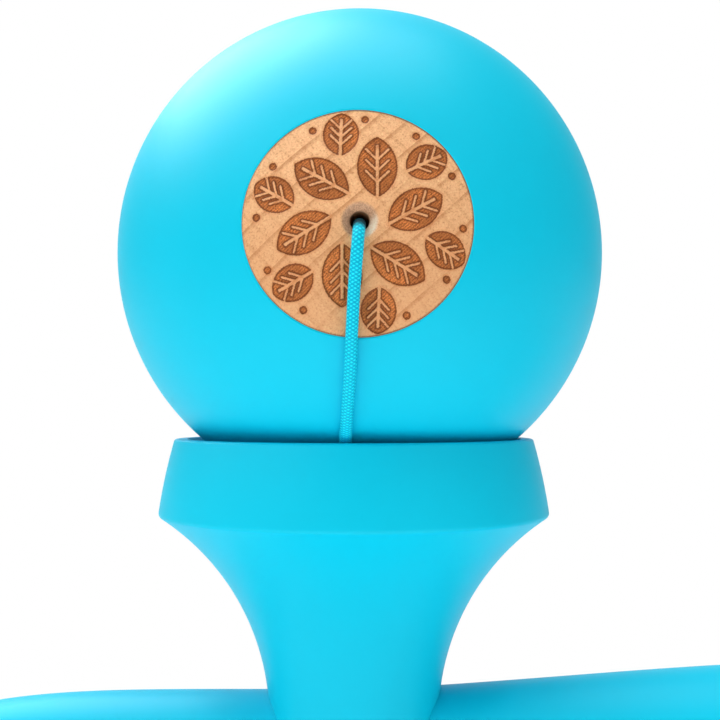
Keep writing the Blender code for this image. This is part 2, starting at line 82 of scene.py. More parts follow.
# String routes as (x, y, z) from the sarado's axis at floor level
FRONT_ROUTE = (
    (0.00073, -0.00580, 0.09761),
    (0.00073, -0.01600, 0.09756),
    (0.00073, -0.02400, 0.09743),
    (0.00073, -0.02820, 0.09741),
    (0.00070, -0.02955, 0.09717),
    (0.00064, -0.03044, 0.09648),
    (0.00056, -0.03096, 0.09548),
    (0.00038, -0.03070, 0.09330),
    (0.00028, -0.03041, 0.09213),
    (-0.00004, -0.02897, 0.08694),
    (-0.00029, -0.02669, 0.08214),
    (-0.00057, -0.02425, 0.07862),
    (-0.00073, -0.02242, 0.07667),
    (-0.00081, -0.02063, 0.07529),
    (-0.00084, -0.01906, 0.07356),
    (-0.00086, -0.01686, 0.07138),
    (-0.00088, -0.01192, 0.06759),
    (-0.00091, -0.00617, 0.06521),
    (-0.00092, -0.00015, 0.06440),
)
BACK_ROUTE = (
    (-0.00092, 0.00015, 0.06440),
    (-0.00094, 0.00617, 0.06521),
    (-0.00096, 0.01192, 0.06759),
    (-0.00098, 0.01686, 0.07138),
    (-0.00099, 0.01906, 0.07356),
    (-0.00100, 0.02063, 0.07529),
    (-0.00100, 0.02225, 0.07597),
    (-0.00100, 0.02405, 0.07540),
    (-0.00100, 0.02500, 0.07370),
    (-0.00100, 0.02535, 0.07000),
    (-0.00095, 0.02540, 0.06200),
    (-0.00080, 0.02536, 0.04400),
    (-0.00060, 0.02535, 0.02400),
    (-0.00030, 0.02535, 0.01100),
    (0.00050, 0.02535, 0.00500),
    (0.00280, 0.02535, 0.00170),
    (0.00680, 0.02535, 0.00082),
    (0.01500, 0.02535, 0.00070),
    (0.02590, 0.02535, 0.00070),
)
RISE_ROUTE = (
    (0.01850, 0.01795, 0.00245),
    (0.01775, 0.01990, 0.00190),
    (0.01540, 0.02165, 0.00115),
    (0.01160, 0.02275, 0.00090),
    (0.00780, 0.02340, 0.00190),
    (0.00490, 0.02365, 0.00480),
    (0.00330, 0.02340, 0.01000),
    (0.00230, 0.02255, 0.01750),
    (0.00145, 0.02100, 0.02550),
    (0.00070, 0.01850, 0.03150),
    (0.00020, 0.01540, 0.03490),
    (0.00000, 0.01260, 0.03600),
    (0.00000, 0.01000, 0.03610),
    (0.00000, 0.00753, 0.03610),
)
# Points of the routes where the ball squeezes the string on the rim
PINCHES = (FRONT_ROUTE[13], BACK_ROUTE[5])
# Lengths of string, in millimetres from its knot, over which the shade painted on it inside the ball's hole
# fades out
PAINTED_HOLE_SHADE = (25.2, 24.2)

# Studio lamps as (name, place, width, height, watts), and a card of light on the floor that shines up
SOFTBOXES = (
    ("top_softbox", (-0.03, 0.00, 1.35), 1.00, 1.00, 12.0),
    ("key_softbox", (-0.85, -0.75, 1.00), 0.85, 0.75, 5.0),
    ("fill_softbox", (0.80, -0.75, 1.00), 0.85, 0.75, 1.9),
    ("side_softbox", (-1.20, 0.00, 0.85), 0.75, 0.75, 2.0),
    ("back_softbox", (-0.50, 0.42, 1.03), 0.75, 0.75, 2.0),
    ("sheen_softbox", (-0.58, 0.40, 0.95), 0.95, 0.80, 17.5),
)
FLOOR_CARD = ("floor_card", (-0.03, -0.11, 0.004), 0.30, 0.10, 0.078)
SHEEN = "sheen_softbox"  # this lamp shows in the gloss alone

# Camera: its place from the ball's centre, sideways from the sarado's axis, and its lens in pixels
EYE = Vector((0.00076, -0.1426, -0.01894))
PICTURE = 720
FOCAL_LENGTH = 1126
LENS_RISE = 49.2
SENSOR = 36.0  # in millimetres

# Sides of the turnings, and of the drills that cut them
WOOD_SIDES = 480
PAINT_SIDES = 192
SARADO_SIDES = 192
KEN_SIDES = 144
BEAD_SIDES = 72
BORE_SIDES = 128
DRILL_SIDES = 48

# Fine gaps, overlaps and rounded edges
REST_GAP = 0.0003  # between pieces that touch
DRILL_RUN = 0.003  # how far a drill runs past the wood
UNDER_PAINT = 0.00012  # how far the ball's wood drops where paint covers it
DROP_ANGLE = 0.004  # angle over which it drops, in radians
PAINT_LAP = 0.0006  # how far the bare surface runs on under the paint's edge
PAINT_EDGE = 0.00014  # rounded edge of the paint round the patch
FILM_INSIDE = 1.4  # inside of the paint below its surface, in films
EDGE_DROP = 0.9  # foot of its rounded edge below its surface, in films
MOUTH_LAP = 0.0004  # how far wood and paint overlap behind the socket's mouth
LINING = 0.0003  # depth of the paint in the socket's mouth
LINING_MOUTH = 0.0002  # its thickness at the mouth's edge
LINING_WALL = 0.00025  # its thickness at the socket's wall
HOLE_RUN = 0.0006  # straight run of the string hole before its rounded edge
SINK_ROUND = 0.0002  # edge between the string hole and its countersink
SOCKET_ROUND = 0.0006  # edge of the socket's floor
WALL_STEP = 0.001  # between two rings of the socket's wall
# Rounded edge of the bead's hole, as steps (out from the hole, in from the end)
BEAD_EDGE = ((0.0003, 0.0), (0.00008, 0.0002), (0.0, 0.0006))
KNOT_LAP = 0.0004  # how far a string's end runs into its knot or out of it
KNOT_START = 0.4  # place of the knots along the string, past the shade of the ball's hole
TURN_POINTS = 24  # points in each turn of the coil and the knots
STRING_SMOOTH = 60  # degrees

# Leaves: rings of them as (reach, length, width, offset, lean), dots, midrib and veins, in millimetres,
# in degrees, and in shares of a leaf's half length or half width
LEAF_RINGS = ((5.75, 6.4, 4.1, 0.0, 18.0), (9.15, 4.7, 3.7, 0.5, -14.0))
LEAF_TURN = math.radians(12)
DOT_REACH = 10.55
DOT_RADIUS = 0.42
MIDRIB = 0.15
MIDRIB_REACH = 0.72
VEIN = 0.10
VEIN_REACH = 0.56
VEIN_STARTS = (-0.50, -0.14, 0.22)

# Engraving in millimetres: where its two steps start inside a leaf's edge, and the bare margins round it
ENGRAVED_STEPS = (-0.02, -0.15)
PATCH_MARGIN = 0.25
SINK_MARGIN = 0.3
BORDER_REACH = 0.5  # how far the burnt border runs on outside the patch
NO_LEAF = 9.0  # distance that stands for no leaf near by
FAR_OFF = 30.0  # distance that stands for another part of the ball
FRONT_ONLY = 0.0005  # in metres, ahead of the socket's floor
PATCH_FADE = 1.7  # where the shift of the patch's edge fades out, in patch radii


def length(name, description, default):
    return FloatProperty(
        name=name, description=description, default=default, min=0.0, unit="LENGTH", precision=5
    )


def number(name, description, default):
    return FloatProperty(name=name, description=description, default=default, min=0.0, precision=4)


def amount(name, description, default, least, most):
    return IntProperty(name=name, description=description, default=default, min=least, max=most)


def colour(name, description, default):
    return FloatVectorProperty(
        name=name, description=description, default=default, min=0.0, max=1.0, subtype="COLOR"
    )


class TamaSizes(bpy.types.PropertyGroup):
    radius: length("Radius", "Outside of the paint", 0.0300)
    patch: length("Patch radius", "Edge of the bare wood round the string hole", 0.0118)
    patch_shift: length("Patch shift", "How far the patch lies to the left of the hole", 0.00023)
    patch_stretch: number("Patch stretch", "Wider than tall, as a share", 0.0127)
    film: length("Paint film", "How far the paint stands above the bare wood", 0.00012)
    engraving: length("Engraving depth", "How deep the leaves are burnt", 0.00014)
    leaves: amount("Leaves", "Leaves in each ring", 6, 3, 12)
    sink: length("Countersink radius", "Edge of the string hole's countersink", 0.0018)
    sink_depth: length("Countersink depth", "From the wood's surface to the hole", 0.0005)
    hole: length("String hole radius", "Bore that the string runs through", 0.0010)
    socket: length("Socket radius", "Bore that takes the spike", 0.00795)
    socket_floor: length("Socket floor", "End of the socket, ahead of the centre", 0.0140)
    bevel_width: length("Bevel width", "Rounded mouth of the socket", 0.0030)
    bevel_depth: length("Bevel depth", "Rounded mouth of the socket", 0.0050)
    bead: length("Bead radius", "Bead at the end of the socket", 0.0040)


class SaradoSizes(bpy.types.PropertyGroup):
    waist: length("Waist radius", "Thinnest place, which the ken passes through", 0.0107)
    big_arm: length("Big arm", "Ken axis to the big cup's rim", 0.0389)
    big_rim: length("Big rim radius", "Outer edge of the big cup's rim", 0.02242)
    big_land: length("Big rim land", "Flat width of the big cup's rim", 0.00152)
    big_band: length("Big band height", "Rim to the widest edge", 0.0094)
    big_swell: length("Big band swell", "How much wider the lower edge is", 0.0020)
    big_run: length("Big waist run", "Straight waist above the ken axis", 0.0036)
    big_depth: length("Big bowl depth", "Hollow that holds the ball", 0.0115)
    small_arm: length("Small arm", "Ken axis to the small cup's rim", 0.0361)
    small_rim: length("Small rim radius", "Outer edge of the small cup's rim", 0.0196)
    small_land: length("Small rim land", "Flat width of the small cup's rim", 0.0018)
    small_band: length("Small band height", "Rim to the widest edge", 0.0082)
    small_swell: length("Small band swell", "How much wider the inner edge is", 0.0017)
    small_run: length("Small waist run", "Straight waist below the ken axis", 0.0050)
    small_depth: length("Small bowl depth", "Hollow of the small cup", 0.0090)
    band_bow: length("Band bow", "How far each band bulges out halfway down", 0.00017)
    rim_round: length("Rim rounding", "Rounded outer edge of each rim", 0.0004)
    band_round: length("Band rounding", "Rounded widest edge of each cup", 0.0006)
    hole: length("String hole radius", "Holes at the front and back of the waist", 0.00135)
    sink: length("Countersink radius", "Edge of those holes", 0.0021)
    sink_depth: length("Countersink depth", "From the waist to those holes", 0.0007)
    seat_gap: length("Seat gap", "Joint line between ken and sarado", 0.00006)


class KenSizes(bpy.types.PropertyGroup):
    spike: length("Spike reach", "Sarado axis to the spike's tip", 0.0580)
    tip: length("Tip radius", "Rounded end of the spike", 0.00354)
    tip_slope: FloatProperty(
        name="Tip slope",
        description="Lean of the spike behind its tip",
        default=math.radians(16),
        subtype="ANGLE",
    )
    tip_pull: length("Tip pull", "How long the spike keeps that lean", 0.0133)
    spike_pull: length("Spike pull", "How long the spike runs straight out of the sarado", 0.0220)
    seat: length("Seat radius", "Tapered seat at the sarado's axis", 0.00719)
    taper: number("Seat taper", "Growth in radius per length", 0.0224)
    handle: length("Handle reach", "Sarado axis to the base rim", 0.1200)
    handle_slope: number("Handle slope", "Growth in radius per length at the sarado", 0.0638)
    handle_pull: length("Handle pull", "How long the handle keeps that slope", 0.0200)
    belly: length("Belly radius", "Thickest place of the handle", 0.0106)
    belly_reach: length("Belly reach", "Sarado axis to the belly", 0.0680)
    neck: length("Neck radius", "Thinnest place above the base cup", 0.0083)
    base_rim: length("Base rim radius", "Outer edge of the base cup's rim", 0.0190)
    base_land: length("Base rim land", "Flat width of the base cup's rim", 0.0018)
    base_band: length("Base band height", "Rim to the widest edge", 0.0080)
    base_swell: length("Base band swell", "How much wider the inner edge is", 0.0016)
    base_flare: length("Base flare", "Widest edge to the neck", 0.0185)
    base_depth: length("Base bowl depth", "Hollow of the base cup", 0.0085)
    hole: length("String hole radius", "Cross hole for the string", 0.0010)
    well: length("Knot well radius", "Wider end of the cross hole", 0.0024)
    well_floor: length("Knot well floor", "In front of the ken axis", 0.0010)


class StringSizes(bpy.types.PropertyGroup):
    radius: length("Radius", "Half of the string's thickness", 0.00065)
    pinched: length("Pinched thickness", "Where the ball squeezes it on the rim", 0.0005)
    spread: number("Spread", "Widening there, as a share of the width", 0.08)
    pinch_reach: length("Pinch reach", "Length over which the squeeze fades", 0.0038)
    ring: length("Ring spacing", "Length of string between two rings of the mesh", 0.00026)
    sides: amount("Sides", "Corners of each ring", 16, 8, 32)
    strands: amount("Strand pairs", "Pairs of strands in the braid", 6, 3, 16)
    coil_inner: length("Coil inner radius", "Smallest loop of the coil", 0.0066)
    coil_step: length("Coil step", "From one loop to the next", 0.00175)
    coil_floor: length("Coil height", "Middle of the lowest loop above the floor", 0.0007)
    coil_turns: number("Coil turns", "Loops of spare string", 2.75)
    coil_right: length("Coil to the right", "Sarado axis to the coil's middle", 0.0275)
    coil_back: length("Coil to the back", "Sarado axis to the coil's middle", 0.01635)
    knot: length("Knot radius", "Outside of the knots' wraps", 0.0018)
    knot_wraps: amount("Knot wraps", "Turns in each knot", 3, 1, 6)
    bead_tail: length("Bead knot's tail", "End of string past the bead's knot", 0.0040)
    ken_tail: length("Ken knot's tail", "End of string past the ken's knot", 0.0008)


class FinishColours(bpy.types.PropertyGroup):
    paint: colour("Paint", "Satin paint of the three turned pieces", (0.0, 0.605, 0.83))
    maple: colour("Maple", "Bare wood", (0.935, 0.512, 0.250))
    grain: colour("Grain", "Darker lines of the wood", (0.62, 0.265, 0.105))
    burnt: colour("Burnt wood", "Inside of the engraving", (0.70, 0.222, 0.056))
    scorch: colour("Scorched edge", "Edge of the engraving", (0.17, 0.044, 0.010))
    nylon: colour("Nylon", "Braided string", (0.002, 0.635, 0.92))


class KendamaSettings(bpy.types.PropertyGroup):
    tama: PointerProperty(type=TamaSizes)
    sarado: PointerProperty(type=SaradoSizes)
    ken: PointerProperty(type=KenSizes)
    string: PointerProperty(type=StringSizes)
    colours: PointerProperty(type=FinishColours)


class Wire:
    """A shader socket that adds Math nodes where it is used in an expression."""

    def __init__(self, finish, socket):
        self.finish = finish
        self.socket = socket

    def math(self, operation, *values):
        return self.finish.node(
            "ShaderNodeMath", {"operation": operation}, dict(enumerate((self, *values)))
        )

    def __add__(self, other):
        return self.math("ADD", other)

    def __sub__(self, other):
        return self.math("SUBTRACT", other)

    def __rsub__(self, other):
        return self.finish.node("ShaderNodeMath", {"operation": "SUBTRACT"}, {0: other, 1: self})

    def __mul__(self, other):
        return self.math("MULTIPLY", other)

    def __truediv__(self, other):
        return self.math("DIVIDE", other)

    def __mod__(self, other):
        return self.math("FLOORED_MODULO", other)

    __radd__ = __add__
    __rmul__ = __mul__

    def step(self, low, high):
        """0 below low, 1 above high, smooth between them; low may be the higher."""
        return self.finish.node(
            "ShaderNodeMapRange",
            {"interpolation_type": "SMOOTHSTEP"},
            {"Value": self, "From Min": low, "From Max": high},
        )


class Shading:
    """A node tree, and the ways to add nodes to it."""

    def __init__(self, tree):
        self.tree = tree

    def node(self, kind, settings=None, sockets=None, output=0):
        """Adds a node, sets it, then gives its sockets values or links; returns one output."""
        made = self.tree.nodes.new(kind)
        for key, value in (settings or {}).items():
            setattr(made, key, value)
        for key, value in (sockets or {}).items():
            self.feed(made.inputs[key], value)
        return Wire(self, made.outputs[output])

    def feed(self, socket, value):
        if isinstance(value, Wire):
            self.tree.links.new(value.socket, socket)
        elif socket.type == "RGBA":
            socket.default_value = (*value, 1.0)[:4]
        else:
            socket.default_value = value

    def mix(self, share, first, second):
        return self.node("ShaderNodeMix", {"data_type": "RGBA"}, {0: share, 6: first, 7: second}, 2)

    def place(self, location=(0.0, 0.0, 0.0), rotation=(0.0, 0.0, 0.0), scale=(1.0, 1.0, 1.0)):
        """Object coordinates about a point, turned and then stretched."""
        spot = self.node("ShaderNodeTexCoord", output="Object")
        centred = self.node(
            "ShaderNodeMapping",
            {"vector_type": "TEXTURE"},
            {"Vector": spot, "Location": location, "Rotation": rotation},
        )
        return self.node("ShaderNodeMapping", {}, {"Vector": centred, "Scale": scale})

    def noise(self, where, scale, detail=2.0, roughness=0.5):
        return self.node(
            "ShaderNodeTexNoise",
            {},
            {"Vector": where, "Scale": scale, "Detail": detail, "Roughness": roughness},
        )

    def bump(self, height, strength, distance):
        return self.node(
            "ShaderNodeBump", {}, {"Strength": strength, "Distance": distance, "Height": height}, "Normal"
        )

    def attribute(self, name):
        return self.node("ShaderNodeAttribute", {"attribute_name": name}, output="Fac")

    def axis(self, vector, index):
        return self.node("ShaderNodeSeparateXYZ", {}, {0: vector}, index)


class Finish(Shading):
    """A material with its Principled shader, and the nodes that feed it."""

    def __init__(self, name):
        self.material = bpy.data.materials.new(name)
        self.material.use_nodes = True
        super().__init__(self.material.node_tree)
        self.shader = self.tree.nodes["Principled BSDF"]

    def surface(self, **sockets):
        for key, value in sockets.items():
            self.feed(self.shader.inputs[key.replace("_", " ")], value)


def satin_paint(name, tint):
    """Sprayed satin paint: slightly uneven in tone and gloss, with a fine orange peel."""
    paint = Finish(name)
    where = paint.place()
    cloud = paint.noise(where, 35.0, 3.0)
    peel = paint.noise(where, 1700.0, 2.0)
    dust = paint.noise(where, 5200.0, 1.0)
    deep = [c * 0.96 for c in tint]
    paint.surface(
        Base_Color=paint.mix(cloud, deep, [min(1.0, c * 1.04) for c in tint]),
        Roughness=0.41 + 0.06 * cloud + 0.05 * dust,
        Normal=paint.bump(peel + 0.5 * dust, 0.10, 0.00004),
        Specular_IOR_Level=0.14,
    )
    return paint.material


def grain_place(finish, centre):
    """Millimetres about a point, turned so that X runs along the wood's growth lines."""
    return finish.place(centre, (0.0, math.radians(-42), 0.0), (MM, MM, MM))


def maple(finish, tints, centre):
    """Colour and height of bare maple whose growth lines rise to the right across the ball's front."""
    where = grain_place(finish, centre)
    along = finish.node("ShaderNodeMapping", {}, {"Vector": where, "Scale": (0.25, 1.2, 1.2)})
    rings = {"wave_type": "BANDS", "bands_direction": "Z", "wave_profile": "SAW"}
    bend = {"Vector": where, "Scale": 0.13, "Distortion": 3.0, "Detail": 2.0, "Detail Scale": 0.22}
    rays = {"wave_type": "BANDS", "bands_direction": "X", "wave_profile": "SIN"}
    sway = {"Vector": where, "Scale": 0.17, "Distortion": 3.5, "Detail": 1.0, "Detail Scale": 0.3}
    tone = finish.noise(where, 0.22, 2.0)
    line = finish.node("ShaderNodeTexWave", rings, bend).step(0.74, 1.0) * tone.step(0.22, 0.58)
    ray = finish.node("ShaderNodeTexWave", rays, sway).step(0.86, 1.0)
    pores = finish.noise(along, 2.6, 3.0, 0.65).step(0.52, 0.74)
    fleck = finish.noise(where, 5.0, 2.0, 0.7)
    dark = 0.80 * line + 0.22 * ray + 0.26 * pores + 0.72 * fleck.step(0.50, 0.70)
    pale = finish.mix(tone, [c * 0.93 for c in tints.maple], [min(1.0, c * 1.06) for c in tints.maple])
    bright = finish.mix(0.75 * fleck.step(0.46, 0.30), pale, [min(1.0, c * 1.35) for c in tints.maple])
    return finish.mix(dark, bright, tints.grain), dark


def bare_maple(name, tints, centre):
    wood = Finish(name)
    tint, dark = maple(wood, tints, centre)
    wood.surface(Base_Color=tint, Roughness=0.52 + 0.12 * dark, Normal=wood.bump(1 - dark, 0.2, 0.00006))
    return wood.material


def engraved_maple(name, tints, sizes):
    """Bare maple with burnt leaves, read from the mesh's distance to their edges in millimetres."""
    wood = Finish(name)
    tint, dark = maple(wood, tints, TAMA_CENTRE)
    where = grain_place(wood, TAMA_CENTRE)
    # Darker towards the bottom of the ball, in the grain's colour
    low = wood.axis(wood.place(TAMA_CENTRE), 2).step(0.007, -0.008)
    tint = wood.mix(0.45 * low, tint, tints.grain)
    jag = wood.noise(where, 7.0, 1.0) - 0.5
    edge = wood.attribute("engraving") + 0.16 * jag
    inside = edge.step(0.045, -0.045)
    rim = inside * edge.step(-0.28, -0.06)
    scan = wood.node(
        "ShaderNodeTexWave",
        {"wave_type": "BANDS", "bands_direction": "Z", "wave_profile": "SIN"},
        {"Vector": where, "Scale": 1.20, "Distortion": 1.2, "Detail": 2.0, "Detail Scale": 2.0},
    )
    char = wood.noise(where, 8.0, 2.0, 0.75)
    patchy = wood.noise(where, 0.28, 1.0).step(0.36, 0.64)
    singe = inside * (0.60 * scan + 0.9 * char.step(0.45, 0.60))
    burnt = wood.mix(patchy, [c * 0.86 for c in tints.burnt], [c * 1.25 for c in tints.burnt])
    burnt = wood.mix(singe * 0.62, burnt, tints.scorch)
    burnt = wood.mix(rim * 0.88, burnt, tints.scorch)
    halo = edge.step(0.30, 0.0) * (1 - inside)
    toned = wood.mix(0.35 * halo, tint, tints.burnt)
    engraved = wood.mix(inside, toned, burnt)
    span = wood.attribute("from_hole")
    countersink_ring = (span + 0.25 * jag).step(sizes.sink * MM + 0.22, sizes.sink * MM - 0.22)
    speck = wood.noise(where, 6.0, 2.0, 0.7).step(0.35, 0.70)
    # Painted light and shade in the countersink: lighter and creamier at its lower right, darker at its
    # upper left
    painted_lit_sink = wood.mix(speck, (1.0, 0.90, 0.70), (0.95, 0.74, 0.52))
    painted_shaded_sink = wood.mix(speck, (0.66, 0.40, 0.25), (0.38, 0.20, 0.115))
    sink_with_painted_light = wood.mix(wood.axis(where, 2).step(-0.2, -1.5), painted_shaded_sink, painted_lit_sink)
    bare = wood.mix(countersink_ring * 0.9, engraved, sink_with_painted_light)
    # Painted shade: the wall of the string hole is coloured almost black
    deep = span.step(sizes.hole * MM + 0.02, sizes.hole * MM - 0.08)
    bored = wood.mix(deep, bare, (0.02, 0.014, 0.010))
    border = (wood.attribute("from_edge") + 0.16 * jag).step(-0.26, -0.05)
    wood.surface(
        Base_Color=wood.mix(border * 0.8, bored, tints.scorch),
        Roughness=0.50 + 0.10 * dark + 0.22 * inside,
        Specular_IOR_Level=0.25,
        Normal=wood.bump(0.35 * (1 - dark) - inside * (0.3 + 0.6 * scan + 0.5 * char), 0.45, 0.00007),
    )
    return wood.material


def braided_nylon(name, tints, strands):
    """Braid of two families of crossing strands, on a UV map that runs round the string and along it."""
    nylon = Finish(name)
    spot = nylon.node("ShaderNodeTexCoord", output="UV")
    turn = nylon.axis(spot, 0) * strands
    run = nylon.axis(spot, 1)
    lift = run / 0.40
    one = turn + lift
    other = turn - lift
    across_one = one % 1.0
    across_other = other % 1.0
    over = (one.math("FLOOR") + other.math("FLOOR")) % 2.0
    across = across_one + over * (across_other - across_one)
    along = across_other + over * (across_one - across_other)
    crown = (across * math.pi).math("SINE") * (0.30 + 0.70 * (along * math.pi).math("SINE"))
    fibre = nylon.node("ShaderNodeCombineXYZ", {}, {0: across * 9.0, 1: along * 1.2, 2: run * 0.4})
    thread = nylon.noise(fibre, 1.0, 1.0)
    # Painted shade in the braid's valleys and painted glints on the strands' crowns, in the base colour
    shade, plain = [c * 0.70 for c in tints.nylon], [c * 0.95 for c in tints.nylon]
    body = nylon.mix(crown.step(0.05, 0.60), shade, plain)
    glint = (crown + 0.25 * (thread - 0.5)).step(0.58, 0.90)
    painted_glint_colour = nylon.mix(glint, body, [min(1.0, c * 1.40 + 0.02) for c in tints.nylon])
    nylon.surface(
        # Painted shade: the string is coloured almost black where it lies inside the ball's hole
        Base_Color=nylon.mix(run.step(*PAINTED_HOLE_SHADE), painted_glint_colour, [c * 0.06 for c in tints.nylon]),
        Roughness=0.48 - 0.16 * glint,
        Normal=nylon.bump(crown + 0.18 * thread, 0.50, 0.00007),
        Specular_IOR_Level=0.1,
    )
    return nylon.material


def deselect():
    if bpy.context.object and bpy.context.object.mode != "OBJECT":
        bpy.ops.object.mode_set(mode="OBJECT")
    bpy.ops.object.select_all(action="DESELECT")


def take(piece):
    deselect()
    piece.select_set(True)
    bpy.context.view_layer.objects.active = piece


def turned(name, profile, centre, out, axis, steps, closed=False):
    """Draws a profile of (radius, height) points by extruding from one point, then spins it."""
    points = [centre + out * radius + axis * height for radius, height in profile]
    if closed:
        points.append(points[0])
    deselect()
    bpy.ops.mesh.primitive_plane_add(size=1e-4, location=points[0])
    piece = bpy.context.object
    piece.name = piece.data.name = name
    bpy.ops.object.transform_apply(location=True, rotation=True, scale=True)
    bpy.ops.object.mode_set(mode="EDIT")
    bpy.ops.mesh.merge(type="CENTER")
    for start, end in zip(points, points[1:]):
        bpy.ops.mesh.extrude_region_move(TRANSFORM_OT_translate={"value": end - start})
    bpy.ops.mesh.select_all(action="SELECT")
    bpy.ops.mesh.remove_doubles(threshold=WELD)
    bpy.ops.mesh.spin(steps=steps, angle=math.tau, center=centre, axis=axis)
    bpy.ops.mesh.select_all(action="SELECT")
    bpy.ops.mesh.remove_doubles(threshold=WELD)
    bpy.ops.mesh.normals_make_consistent(inside=False)
    bpy.ops.object.mode_set(mode="OBJECT")
    return piece


def drill(piece, cutter):
    """Cuts the cutter out of the piece and throws it away."""
    take(piece)
    bpy.ops.object.modifier_add(type="BOOLEAN")
    cut = piece.modifiers[-1]
    cut.operation = "DIFFERENCE"
    cut.solver = "EXACT"
    cut.object = cutter
    bpy.ops.object.modifier_apply(modifier=cut.name)
    bpy.data.objects.remove(cutter, do_unlink=True)


def finish_piece(piece, material, body, nodes, angle=32):
    take(piece)
    piece.data.materials.clear()
    piece.data.materials.append(material)
    bpy.ops.object.shade_smooth_by_angle(angle=math.radians(angle))
    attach(piece, body)
    if nodes:
        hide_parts(*nodes)


def corner(before, at, after, radius, pieces=8):
    """Points of the arc that rounds a corner between two straight runs."""
    at = Vector(at)
    back = (Vector(before) - at).normalized()
    ahead = (Vector(after) - at).normalized()
    half = back.angle(ahead) / 2
    middle = at + (back + ahead).normalized() * (radius / math.sin(half))
    first = (at + back * (radius / math.tan(half)) - middle).normalized()
    last = (at + ahead * (radius / math.tan(half)) - middle).normalized()
    shares = [i / pieces for i in range(pieces + 1)]
    return [tuple(middle + first.lerp(last, share).normalized() * radius) for share in shares]


def arc(radius, start, end, pieces):
    """Circle about the centre as (radius, height) points, by their angle from the axis."""
    angles = [start + (end - start) * i / pieces for i in range(pieces + 1)]
    return [(radius * math.sin(a), radius * math.cos(a)) for a in angles]


def bevel(mouth, width, depth, base, pieces):
    """Quarter oval from a mouth's edge in to its wall."""
    angles = [math.pi / 2 * i / pieces for i in range(pieces + 1)]
    return [(mouth - width * math.sin(a), base + depth * (1 - math.cos(a))) for a in angles]


def sweep(start, start_handle, end_handle, end, pieces):
    points = [Vector((*p, 0.0)) for p in (start, start_handle, end_handle, end)]
    return [(p.x, p.y) for p in interpolate_bezier(*points, pieces + 1)]


def hollow(rim, land, depth, pieces=26):
    """Bowl of a cup as (radius, depth below the rim), from its middle to the inside of its rim."""
    edge = rim - land
    radius = (edge**2 + depth**2) / (2 * depth)
    reach = math.atan2(edge, radius - depth)
    angles = [reach * i / pieces for i in range(pieces + 1)]
    return [(radius * math.sin(a), depth - radius * (1 - math.cos(a))) for a in angles]


def cup_side(rim, swell, band, flare_length, neck, edges, rows=16, pieces=30):
    """Outside of a cup as (radius, depth below the rim): rim, band, widest edge, flare to the neck."""
    widest = rim + swell
    step_in = widest - neck
    flare = (step_in**2 + flare_length**2) / (2 * step_in)
    reach = math.atan2(flare_length, flare - step_in)
    curve = []
    for i in range(1, pieces + 1):
        angle = reach * (1 - i / pieces)
        curve.append((neck + flare * (1 - math.cos(angle)), band + flare_length - flare * math.sin(angle)))
    shares = [i / rows for i in range(rows + 1)]
    side = [(rim + swell * s + 4 * edges.band_bow * s * (1 - s), band * s) for s in shares]
    lip = corner((0.0, 0.0), side[0], side[1], edges.rim_round)
    return lip + side[2:-1] + corner(side[-2], side[-1], curve[0], edges.band_round) + curve


def leaf_field(x, z, sizes):
    """Signed distance in millimetres to the edge of the burnt leaves, below zero inside them."""
    field = np.full(x.shape, NO_LEAF)
    for reach, long, wide, offset, lean in LEAF_RINGS:
        for i in range(sizes.leaves):
            turn = math.tau * (i + offset) / sizes.leaves + LEAF_TURN
            point = turn + math.radians(lean)
            u = x - reach * math.cos(turn)
            v = z - reach * math.sin(turn)
            along = u * math.cos(point) + v * math.sin(point)
            side = -u * math.sin(point) + v * math.cos(point)
            field = np.minimum(field, one_leaf(along, side, long / 2, wide / 2))
    for i in range(2 * sizes.leaves):
        turn = math.tau * (i + 0.5) / (2 * sizes.leaves) + LEAF_TURN
        away = np.hypot(x - DOT_REACH * math.cos(turn), z - DOT_REACH * math.sin(turn))
        field = np.minimum(field, away - DOT_RADIUS)
    return field


def one_leaf(along, side, half, width):
    """Pointed oval with a midrib and slanting veins left bare."""
    bow = (half**2 + width**2) / (2 * width)
    shift = bow - width
    a, s = np.abs(along), np.abs(side)
    at_tip = (a - half) * shift > s * half
    oval = np.where(at_tip, np.hypot(a - half, s), np.hypot(s + shift, a) - bow)
    veins = np.maximum(s - MIDRIB, along - half * MIDRIB_REACH)
    for share in VEIN_STARTS:
        start = share * half
        reach = np.clip((s + (along - start)) / 2, 0.0, width * VEIN_REACH)
        veins = np.minimum(veins, np.hypot(s - reach, along - start - reach) - VEIN)
    return np.maximum(oval, -veins)


def route_points(route, pieces):
    """A smooth curve through a route's points, in world places."""
    spans = [(b - a).length for a, b in zip(route, route[1:])]
    slopes = [(b - a) / span for a, b, span in zip(route, route[1:], spans)]
    tangents = [slopes[0]]
    for i in range(1, len(slopes)):
        total = spans[i - 1] + spans[i]
        tangents.append((slopes[i - 1] * spans[i] + slopes[i] * spans[i - 1]) / total)
    tangents.append(slopes[-1])
    points = [route[0]]
    for i, span in enumerate(spans):
        handles = (route[i] + tangents[i] * span / 3, route[i + 1] - tangents[i + 1] * span / 3)
        points += interpolate_bezier(route[i], *handles, route[i + 1], pieces + 1)[1:]
    return points


def evenly(points, spacing):
    """Points a set length apart along a line, its two ends included."""
    line = np.array(points)
    run = np.concatenate([[0.0], np.cumsum(np.linalg.norm(np.diff(line, axis=0), axis=1))])
    marks = np.linspace(0.0, run[-1], max(2, round(run[-1] / spacing) + 1))
    return np.stack([np.interp(marks, run, line[:, i]) for i in range(3)], axis=1), marks


